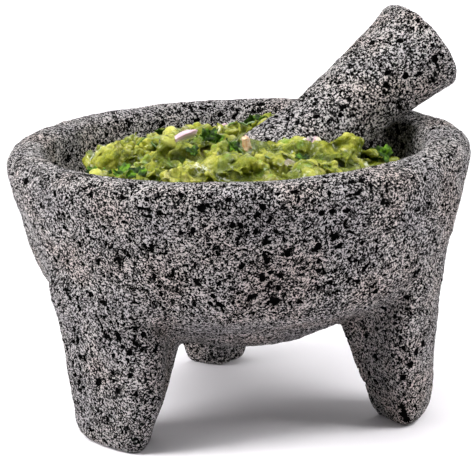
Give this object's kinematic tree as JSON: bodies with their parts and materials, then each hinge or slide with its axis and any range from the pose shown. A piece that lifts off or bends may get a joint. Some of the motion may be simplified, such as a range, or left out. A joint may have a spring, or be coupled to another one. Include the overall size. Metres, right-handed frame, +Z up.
{
  "type": "molcajete",
  "caption": "Footed volcanic-stone grinding bowl heaped with guacamole, with a flared stone pestle leaning on its rim.",
  "frame": {"origin": "on the ground, on the axis of the bowl's hollow", "axes": "+Z up, +X to the right and -Y towards whoever faces the side between the two front legs"},
  "size_m": [0.2, 0.2, 0.1708],
  "materials": {
    "basalt": "matte",
    "coarse_basalt": "matte",
    "guacamole": "satin"
  },
  "bodies": {
    "mortar": {"mortar": "basalt"},
    "paste": {"guacamole": "guacamole"},
    "pestle": {"pestle": "coarse_basalt"}
  },
  "joints": [
    {"name": "stir", "type": "hinge", "parent": "mortar", "child": "paste", "pos_m": [0, 0, 0.08], "axis": [0, 0, 1], "continuous": true},
    {"name": "pestle_draw", "type": "slide", "parent": "paste", "child": "pestle", "axis": [0.6958, 0.3699, 0.6157], "range_m": [0, 0.16], "deforming": ["guacamole"]}
  ]
}
